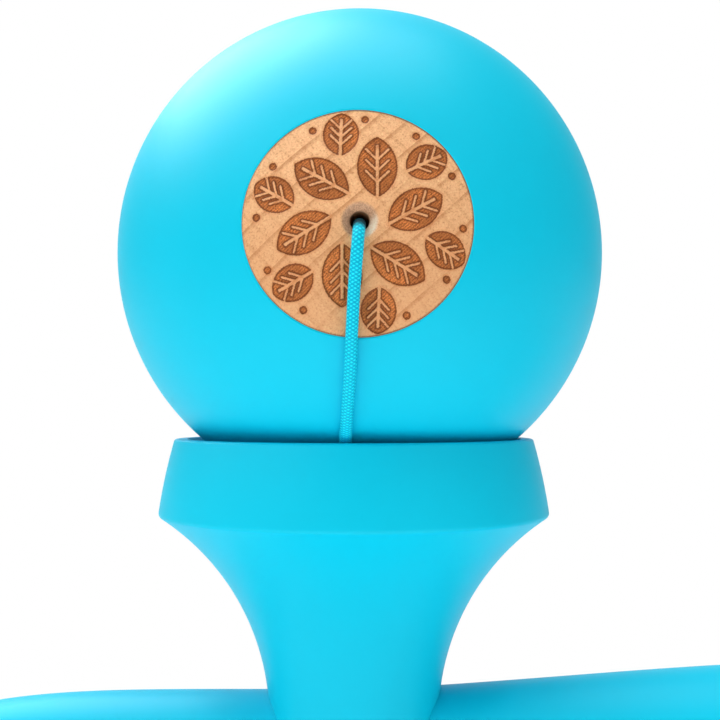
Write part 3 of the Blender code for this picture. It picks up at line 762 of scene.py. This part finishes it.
def string_mesh(name, points, sizes, pinches=(), start=0.0):
    """Closed tube with its rings in order; its UV map runs round it, and along it in millimetres."""
    line, run = evenly(points, sizes.ring)
    heading = np.gradient(line, axis=0)
    heading /= np.linalg.norm(heading, axis=1)[:, None]
    side = np.zeros_like(line)
    first = np.cross(heading[0], (0.3, 0.2, 1.0))
    side[0] = first / np.linalg.norm(first)
    for i in range(1, len(line)):
        carried = side[i - 1] - heading[i] * np.dot(side[i - 1], heading[i])
        side[i] = carried / np.linalg.norm(carried)
    over = np.cross(heading, side)
    turns = (np.arange(sizes.sides) * math.tau / sizes.sides)[None, :, None]
    rings = np.cos(turns) * side[:, None, :] + np.sin(turns) * over[:, None, :]
    rings *= sizes.radius
    centre = np.array(TAMA_CENTRE)
    for pinch in pinches:
        away = np.linalg.norm(line - np.array(pinch), axis=1) / sizes.pinch_reach
        fade = np.where(away < 1, 1 - away * away * (3 - 2 * away), 0.0)[:, None, None]
        normal = line - centre
        normal = (normal / np.linalg.norm(normal, axis=1)[:, None])[:, None, :]
        broad = np.cross(normal, heading[:, None, :])
        broad /= np.linalg.norm(broad, axis=2)[:, :, None]
        thin = 1 - sizes.pinched / (2 * sizes.radius)
        rings = rings - normal * ((rings * normal).sum(2)[:, :, None] * fade * thin)
        rings = rings + broad * ((rings * broad).sum(2)[:, :, None] * fade * sizes.spread)
    places = (line[:, None, :] + rings).reshape(-1, 3)
    count, sides = len(line), sizes.sides
    faces = []
    for i in range(count - 1):
        for j in range(sides):
            k = (j + 1) % sides
            faces.append((i * sides + j, i * sides + k, (i + 1) * sides + k, (i + 1) * sides + j))
    faces += [tuple(range(sides - 1, -1, -1)), tuple(range((count - 1) * sides, count * sides))]
    mesh = bpy.data.meshes.new(name)
    mesh.from_pydata(places.tolist(), [], faces)
    layer = mesh.uv_layers.new(name="Braid").data
    for face in mesh.polygons:
        for spot, loop in enumerate(face.loop_indices):
            ring, j = divmod(mesh.loops[loop].vertex_index, sides)
            wraps = len(face.vertices) == 4 and face.index % sides == sides - 1 and spot in (1, 2)
            layer[loop].uv = ((sides if wraps else j) / sides, (start + run[ring]) * MM)
    mesh.validate()
    piece = bpy.data.objects.new(name, mesh)
    bpy.context.scene.collection.objects.link(piece)
    take(piece)
    bpy.ops.object.mode_set(mode="EDIT")
    bpy.ops.mesh.select_all(action="SELECT")
    bpy.ops.mesh.normals_make_consistent(inside=False)
    bpy.ops.object.mode_set(mode="OBJECT")
    return piece, line, float(run[-1])


class KENDAMA_OT_tama(bpy.types.Operator):
    """Ball: bored wooden core with its engraved bare patch, and the paint over the rest"""

    bl_idname = "kendama.tama"
    bl_label = "Ball"

    def execute(self, context):
        settings = context.scene.kendama
        sizes = settings.tama
        core = self.core(sizes)
        self.engrave(core, sizes)
        wood = engraved_maple("engraved_maple", settings.colours, sizes)
        finish_piece(core, wood, "tama", ["tama"])
        paint = self.paint(sizes)
        satin = satin_paint("tama_satin_paint", settings.colours.paint)
        finish_piece(paint, satin, "tama", [])
        return {"FINISHED"}

    def core(self, sizes):
        """The wood: string hole, countersink, bare front, back under the paint, and socket."""
        wood = sizes.radius - sizes.film
        under = wood - UNDER_PAINT
        front = math.sqrt(wood**2 - sizes.sink**2)
        sunk = (sizes.hole, front - sizes.sink_depth)
        profile = [(sizes.hole, sizes.socket_floor), (sizes.hole, sunk[1] - HOLE_RUN)]
        profile += corner(profile[-1], sunk, (sizes.sink, front), SINK_ROUND, 4)
        first, last = math.asin(sizes.sink / wood), math.asin((sizes.patch + PAINT_LAP) / wood)
        profile += arc(wood, first, last, 84)
        mouth = sizes.socket + sizes.bevel_width
        back = math.pi - math.asin((mouth - MOUTH_LAP) / under)
        profile += arc(under, last + DROP_ANGLE, back, 32)
        wall = sizes.bevel_depth - math.sqrt(sizes.radius**2 - mouth**2)
        profile += [(sizes.socket, wall + WALL_STEP * i) for i in range(12)]
        floor = sizes.socket_floor
        profile += corner(profile[-1], (sizes.socket, floor), (0.0, floor), SOCKET_ROUND, 4)
        return turned("tama_wood", profile, TAMA_CENTRE, RIGHT, FORWARD, WOOD_SIDES, closed=True)

    def engrave(self, core, sizes):
        """Sinks the leaves in two steps, and keeps the distance to their edges for the wood's colour."""
        count = len(core.data.vertices)
        places = np.empty(count * 3)
        core.data.vertices.foreach_get("co", places)
        places = places.reshape(-1, 3) - np.array(TAMA_CENTRE)
        x, z = places[:, 0] * MM, places[:, 2] * MM
        out = np.hypot(x, z)
        patch = sizes.patch * MM
        ahead = places[:, 1] < -sizes.socket_floor - FRONT_ONLY
        on_front = ahead & (out < patch - PATCH_MARGIN) & (out > sizes.sink * MM + SINK_MARGIN)
        field = np.where(on_front, leaf_field(x, z, sizes), NO_LEAF)
        for limit in ENGRAVED_STEPS:
            take(core)
            bpy.ops.object.mode_set(mode="EDIT")
            bpy.ops.mesh.select_all(action="DESELECT")
            bpy.ops.mesh.select_mode(type="VERT")
            bpy.ops.object.mode_set(mode="OBJECT")
            core.data.vertices.foreach_set("select", field < limit)
            bpy.ops.object.mode_set(mode="EDIT")
            bpy.ops.transform.translate(value=FORWARD * (-sizes.engraving / 2))
            bpy.ops.object.mode_set(mode="OBJECT")
        shift, stretch = sizes.patch_shift * MM, sizes.patch_stretch
        edge = np.hypot((x + shift) / (1 + stretch), z / (1 - stretch)) - patch
        edge = np.where(edge > BORDER_REACH, -FAR_OFF, edge)
        for name, span in (("engraving", field), ("from_hole", out), ("from_edge", edge)):
            layer = core.data.attributes.new(name, "FLOAT", "POINT")
            layer.data.foreach_set("value", np.where(ahead, span, FAR_OFF).astype(np.float32))

    def paint(self, sizes):
        """The paint: a film with a round opening at the front, which lines the socket's mouth."""
        outer, inner = sizes.radius, sizes.radius - FILM_INSIDE * sizes.film
        width, depth = sizes.bevel_width, sizes.bevel_depth
        mouth = sizes.socket + width
        back = -math.sqrt(outer**2 - mouth**2)
        start, end = math.asin((sizes.patch + PAINT_EDGE) / outer), math.pi - math.asin(mouth / outer)
        profile = []
        for i in range(5):
            sharp = 1 - math.sin(math.pi / 2 * i / 4)
            angle = start - PAINT_EDGE / outer * sharp
            away = outer - EDGE_DROP * sizes.film * sharp
            profile.append((away * math.sin(angle), away * math.cos(angle)))
        profile += arc(outer, start, end, 90)[1:]
        profile += bevel(mouth, width, depth, back, 16)[1:]
        lined = width + LINING_MOUTH - LINING_WALL
        profile += bevel(mouth + LINING_MOUTH, lined, depth - LINING, back + LINING, 8)[::-1]
        stop = math.pi - math.asin((mouth + MOUTH_LAP) / inner)
        profile += arc(inner, stop, math.asin(sizes.patch / inner), 40)
        paint = turned("tama_paint", profile, TAMA_CENTRE, RIGHT, FORWARD, PAINT_SIDES, closed=True)
        self.shift_patch(paint, sizes)
        return paint

    def shift_patch(self, paint, sizes):
        """Slides the paint's front edge along the ball, a little to the left and wider than tall."""
        places = np.empty(len(paint.data.vertices) * 3)
        paint.data.vertices.foreach_get("co", places)
        places = places.reshape(-1, 3) - np.array(TAMA_CENTRE)
        reach = np.linalg.norm(places, axis=1)[:, None]
        away = np.hypot(places[:, 0], places[:, 2]) / sizes.patch
        fade = np.clip((PATCH_FADE - away) / (PATCH_FADE - 1), 0.0, 1.0) * (places[:, 1] < 0)
        fade = fade * fade * (3 - 2 * fade)
        places[:, 0] += fade * (places[:, 0] * sizes.patch_stretch - sizes.patch_shift)
        places[:, 2] -= fade * places[:, 2] * sizes.patch_stretch
        places *= reach / np.linalg.norm(places, axis=1)[:, None]
        paint.data.vertices.foreach_set("co", (places + np.array(TAMA_CENTRE)).ravel())
        paint.data.update()


class KENDAMA_OT_sarado(bpy.types.Operator):
    """Cross piece: two cups on a waist, bored for the ken and drilled for the string"""

    bl_idname = "kendama.sarado"
    bl_label = "Cross piece"

    def execute(self, context):
        settings = context.scene.kendama
        sizes, ken = settings.sarado, settings.ken
        tall = sizes.big_arm + sizes.small_arm
        big, small = self.cup(sizes, "big"), self.cup(sizes, "small")
        top, foot = big[-1], small[-1]
        run = [(sizes.waist, tall - top[1] + (foot[1] - tall + top[1]) * i / 10) for i in range(1, 10)]
        profile = [(radius, tall - depth) for radius, depth in big] + run + small[::-1]
        sarado = turned("sarado_turned", profile, FOOT, RIGHT, UP, SARADO_SIDES)
        reach = sizes.waist + DRILL_RUN
        grow = ken.taper * reach
        bore = [
            (0.0, -reach),
            (ken.seat - grow + sizes.seat_gap, -reach),
            (ken.seat + grow + sizes.seat_gap, reach),
            (0.0, reach),
        ]
        drill(sarado, turned("ken_bore", bore, KEN_CENTRE, FORWARD, RIGHT, BORE_SIDES))
        hole = [
            (0.0, reach),
            (sizes.sink, reach),
            (sizes.sink, sizes.waist),
            (sizes.hole, sizes.waist - sizes.sink_depth),
            (sizes.hole, sizes.sink_depth - sizes.waist),
            (sizes.sink, -sizes.waist),
            (sizes.sink, -reach),
            (0.0, -reach),
        ]
        drill(sarado, turned("string_bore", hole, KEN_CENTRE, RIGHT, FORWARD, DRILL_SIDES))
        paint = satin_paint("sarado_satin_paint", settings.colours.paint)
        finish_piece(sarado, paint, "sarado", ["sarado"])
        return {"FINISHED"}

    def cup(self, sizes, side):
        """Bowl and outside of the big or the small cup, as (radius, depth below its rim)."""
        names = ("arm", "rim", "land", "band", "swell", "run", "depth")
        arm, rim, land, band, swell, run, depth = (getattr(sizes, f"{side}_{name}") for name in names)
        return hollow(rim, land, depth) + cup_side(rim, swell, band, arm - band - run, sizes.waist, sizes)


class KENDAMA_OT_ken(bpy.types.Operator):
    """Handle: spike, tapered seat, handle and base cup in one turning, cross-drilled for the string"""

    bl_idname = "kendama.ken"
    bl_label = "Handle"

    def execute(self, context):
        settings = context.scene.kendama
        sizes, sarado = settings.ken, settings.sarado
        slope = sizes.tip_slope
        round_end = arc(sizes.tip, 0.0, math.pi / 2 - slope, 12)
        tip = [(radius, sizes.tip - height - sizes.spike) for radius, height in round_end]
        shoulder = Vector(tip[-1])
        lean = Vector((math.sin(slope), math.cos(slope)))
        half = sarado.waist
        seat_top = (sizes.seat - sizes.taper * half, -half)
        seat_end = (sizes.seat + sizes.taper * half, half)
        straight = (seat_top[0], seat_top[1] - sizes.spike_pull)
        spike = sweep(shoulder, shoulder + lean * sizes.tip_pull, straight, seat_top, 32)
        belly = (sizes.belly, sizes.belly_reach)
        neck = (sizes.neck, sizes.handle - sizes.base_band - sizes.base_flare)
        pull = sizes.handle_pull
        sloping = (seat_end[0] + sizes.handle_slope * pull, seat_end[1] + pull)
        handle = sweep(seat_end, sloping, (belly[0], belly[1] - pull), belly, 36)
        spare = (neck[1] - belly[1]) / 2
        grip = sweep(belly, (belly[0], belly[1] + spare), (neck[0], neck[1] - spare), neck, 24)
        base = hollow(sizes.base_rim, sizes.base_land, sizes.base_depth)
        base += cup_side(
            sizes.base_rim, sizes.base_swell, sizes.base_band, sizes.base_flare, sizes.neck, sarado
        )
        profile = tip + spike[1:] + handle + grip[1:-1] + [(r, sizes.handle - d) for r, d in base[::-1]]
        ken = turned("ken_turned", profile, KEN_CENTRE, FORWARD, RIGHT, KEN_SIDES)
        reach = sizes.seat + DRILL_RUN
        well = [
            (0.0, -reach),
            (sizes.hole, -reach),
            (sizes.hole, sizes.well_floor),
            (sizes.well, sizes.well_floor),
            (sizes.well, reach),
            (0.0, reach),
        ]
        drill(ken, turned("string_well", well, KEN_CENTRE, RIGHT, FORWARD, DRILL_SIDES))
        paint = satin_paint("ken_satin_paint", settings.colours.paint)
        finish_piece(ken, paint, "ken", ["ken"])
        return {"FINISHED"}


class KENDAMA_OT_bead(bpy.types.Operator):
    """Bead that holds the string in the ball's socket"""

    bl_idname = "kendama.bead"
    bl_label = "Bead"

    def execute(self, context):
        settings = context.scene.kendama
        sizes = settings.tama
        middle = TAMA_CENTRE + FORWARD * (sizes.socket_floor - REST_GAP - sizes.bead)
        end = math.asin((sizes.hole + BEAD_EDGE[0][0]) / sizes.bead)
        profile = arc(sizes.bead, end, math.pi - end, 28)
        edge = [(sizes.hole + out, profile[-1][1] + depth) for out, depth in BEAD_EDGE[1:]]
        profile += edge + [(radius, -height) for radius, height in edge[::-1]]
        bead = turned("tama_bead_turned", profile, middle, RIGHT, FORWARD, BEAD_SIDES, closed=True)
        wood = bare_maple("bead_maple", settings.colours, middle)
        finish_piece(bead, wood, "tether", ["tama_bead"])
        return {"FINISHED"}


class KENDAMA_OT_string(bpy.types.Operator):
    """String: from the ball's bead through its hole, over the cup and the spare coil to the cross piece"""

    bl_idname = "kendama.string"
    bl_label = "String"

    def execute(self, context):
        settings = context.scene.kendama
        sizes = settings.string
        nylon = braided_nylon("braided_nylon", settings.colours, sizes.strands)
        route = [FOOT + Vector(p) for p in FRONT_ROUTE + BACK_ROUTE] + self.coil(sizes)
        route += [FOOT + Vector(p) for p in RISE_ROUTE]
        pinches = [FOOT + Vector(p) for p in PINCHES]
        string, line, long = string_mesh("string_braided", route_points(route, 8), sizes, pinches)
        string.data.materials.append(nylon)
        take(string)
        bpy.ops.object.shade_smooth_by_angle(angle=math.radians(STRING_SMOOTH))
        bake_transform(string)
        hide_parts("string_front", "string_back", "string_coil", "string_rise")
        self.knots(settings, nylon)
        return {"FINISHED"}

    def coil(self, sizes):
        """One string spiralling in on the floor and out again a layer higher."""
        centre = FOOT + Vector((sizes.coil_right, sizes.coil_back, sizes.coil_floor))
        middle = sizes.coil_turns / 2
        count = round(sizes.coil_turns * TURN_POINTS)
        points = []
        for i in range(count + 1):
            turn = sizes.coil_turns * i / count
            angle = math.pi / 2 - math.tau * turn
            radius = sizes.coil_inner + sizes.coil_step * abs(turn - middle)
            climb = min(1.0, max(0.0, (turn - middle) * 2 + 0.5))
            spoke = Vector((math.cos(angle), math.sin(angle), 0.0))
            points.append(centre + spoke * radius + UP * (sizes.coil_step * climb))
        return points

    def knots(self, settings, nylon):
        """Stopper knots, one behind the bead and one in the ken's well, and the string's end in the ken."""
        sizes, tama, ken = settings.string, settings.tama, settings.ken
        bead_back = tama.socket_floor - REST_GAP - tama.bead - math.sqrt(tama.bead**2 - tama.hole**2)
        top = TAMA_CENTRE + FORWARD * (bead_back - REST_GAP)
        knot = self.wraps("tama_knot_tied", top, FORWARD * -1, sizes.bead_tail, sizes)
        finish_piece(knot, nylon, "tether", ["tama_knot"], STRING_SMOOTH)
        top = KEN_CENTRE + FORWARD * (ken.well_floor + REST_GAP)
        knot = self.wraps("ken_knot_tied", top, FORWARD, sizes.ken_tail, sizes)
        finish_piece(knot, nylon, "ken", ["ken_knot"], STRING_SMOOTH)
        ends = [KEN_CENTRE - FORWARD * ken.seat, KEN_CENTRE + FORWARD * (ken.well_floor + KNOT_LAP)]
        stub, _, _ = string_mesh("string_ken_end_braided", ends, sizes, start=KNOT_START)
        finish_piece(stub, nylon, "ken", ["string_ken_end"], STRING_SMOOTH)

    def wraps(self, name, top, down, tail, sizes):
        """A stopper knot: the string winds round itself and its end comes out below."""
        ahead = down.cross(RIGHT)
        thick = 2 * sizes.radius
        winding = sizes.knot - sizes.radius
        count = sizes.knot_wraps * TURN_POINTS
        points = []
        for i in range(count + 1):
            angle = math.tau * i / TURN_POINTS
            depth = sizes.radius + (sizes.knot_wraps - 1) * thick * i / count
            spoke = RIGHT * (winding * math.cos(angle)) + ahead * (winding * math.sin(angle))
            points.append(top + spoke + down * depth)
        foot = sizes.knot_wraps * thick
        points.append(top + RIGHT * (winding * 0.45) + down * (foot - 0.3 * thick))
        points.append(top + down * (foot + 0.1 * thick))
        points.append(top + down * (foot + max(tail, KNOT_LAP)))
        knot, _, _ = string_mesh(name, route_points(points, 3), sizes, start=KNOT_START)
        return knot


class KENDAMA_OT_stage(bpy.types.Operator):
    """Stage: pale floor, soft studio light and the camera"""

    bl_idname = "kendama.stage"
    bl_label = "Stage"

    def execute(self, context):
        self.floor()
        self.world(context.scene)
        for name, spot, wide, tall, power in SOFTBOXES:
            self.lamp(name, spot, TAMA_CENTRE, wide, tall, power)
        name, spot, wide, tall, power = FLOOR_CARD
        self.lamp(name, spot, Vector(spot) + UP, wide, tall, power)
        deselect()
        eye = Vector((FOOT.x, TAMA_CENTRE.y, TAMA_CENTRE.z)) + EYE
        bpy.ops.object.camera_add(location=eye, rotation=(math.pi / 2, 0.0, 0.0))
        camera = context.object
        camera.name = "camera"
        camera.data.sensor_width = SENSOR
        camera.data.lens = SENSOR * FOCAL_LENGTH / PICTURE
        camera.data.shift_y = LENS_RISE / PICTURE
        camera.data.clip_start = 0.005
        context.scene.camera = camera
        context.scene.view_settings.view_transform = "Standard"
        return {"FINISHED"}

    def lamp(self, name, spot, target, wide, tall, power):
        deselect()
        aim = (Vector(target) - Vector(spot)).to_track_quat("-Z", "Y").to_euler()
        bpy.ops.object.light_add(type="AREA", location=spot, rotation=aim)
        lamp = bpy.context.object
        lamp.name = name
        lamp.data.shape = "RECTANGLE"
        lamp.data.size, lamp.data.size_y = wide, tall
        lamp.data.energy = power
        lamp.visible_camera = False
        lamp.visible_diffuse = name != SHEEN

    def floor(self):
        """White floor that shows the object's shadow near it and melts into the background further off."""
        deselect()
        bpy.ops.mesh.primitive_plane_add(size=8.0, location=(0.0, 0.0, 0.0))
        floor = bpy.context.object
        floor.name = "floor"
        pale = Finish("pale_floor")
        pale.surface(Base_Color=(0.90, 0.90, 0.90), Roughness=0.7)
        spot = pale.place(scale=(0.55, 1.0, 0.0))
        away = pale.node("ShaderNodeVectorMath", {"operation": "LENGTH"}, {0: spot}, "Value")
        seen = [pale.node("ShaderNodeLightPath", output=n) for n in SEEN]
        clear = away.step(0.05, 0.13) * (seen[0] + seen[1] + seen[2]).math("MINIMUM", 1.0)
        glow = pale.node("ShaderNodeEmission", {}, {"Color": (1.0, 1.0, 1.0), "Strength": 1.0})
        plain = Wire(pale, pale.shader.outputs[0])
        both = pale.node("ShaderNodeMixShader", {}, {0: clear, 1: plain, 2: glow})
        pale.feed(pale.tree.nodes["Material Output"].inputs["Surface"], both)
        floor.data.materials.append(pale.material)

    def world(self, scene):
        """White to the camera, through glass and in gloss of the backdrop, and a dim room otherwise."""
        world = scene.world or bpy.data.worlds.new("studio")
        scene.world = world
        world.use_nodes = True
        sky = Shading(world.node_tree)
        camera, gloss, glass = (sky.node("ShaderNodeLightPath", output=n) for n in SEEN)
        heading = sky.node("ShaderNodeTexCoord", output="Generated")
        backdrop = sky.axis(heading, 1).step(0.60, 0.95)
        clear = (camera + glass + gloss * backdrop).math("MINIMUM", 1.0)
        room = 0.31 - 0.23 * gloss
        back = sky.tree.nodes["Background"]
        sky.feed(back.inputs["Color"], (1.0, 1.0, 1.0))
        sky.feed(back.inputs["Strength"], clear + (1 - clear) * room)


class KENDAMA_PT_panel(bpy.types.Panel):
    """Pieces of the kendama and their sizes"""

    bl_label = "Kendama"
    bl_idname = "KENDAMA_PT_panel"
    bl_space_type = "VIEW_3D"
    bl_region_type = "UI"
    bl_category = "Kendama"

    def draw(self, context):
        settings = context.scene.kendama
        for operator in OPERATORS:
            self.layout.operator(operator.bl_idname)
        for group in ("tama", "sarado", "ken", "string", "colours"):
            box = self.layout.box()
            box.label(text=group.capitalize())
            sizes = getattr(settings, group)
            for name in sizes.bl_rna.properties.keys():
                if name not in ("rna_type", "name"):
                    box.prop(sizes, name)


GROUPS = (TamaSizes, SaradoSizes, KenSizes, StringSizes, FinishColours, KendamaSettings)
OPERATORS = (
    KENDAMA_OT_tama,
    KENDAMA_OT_sarado,
    KENDAMA_OT_ken,
    KENDAMA_OT_bead,
    KENDAMA_OT_string,
    KENDAMA_OT_stage,
)


def register():
    for cls in (*GROUPS, *OPERATORS, KENDAMA_PT_panel):
        bpy.utils.register_class(cls)
    bpy.types.Scene.kendama = PointerProperty(type=KendamaSettings)


def unregister():
    del bpy.types.Scene.kendama
    for cls in reversed((*GROUPS, *OPERATORS, KENDAMA_PT_panel)):
        bpy.utils.unregister_class(cls)


def main():
    register()
    bpy.ops.kendama.tama()
    bpy.ops.kendama.sarado()
    bpy.ops.kendama.ken()
    bpy.ops.kendama.bead()
    bpy.ops.kendama.string()
    bpy.ops.kendama.stage()
    deselect()


if __name__ == "__main__":
    main()
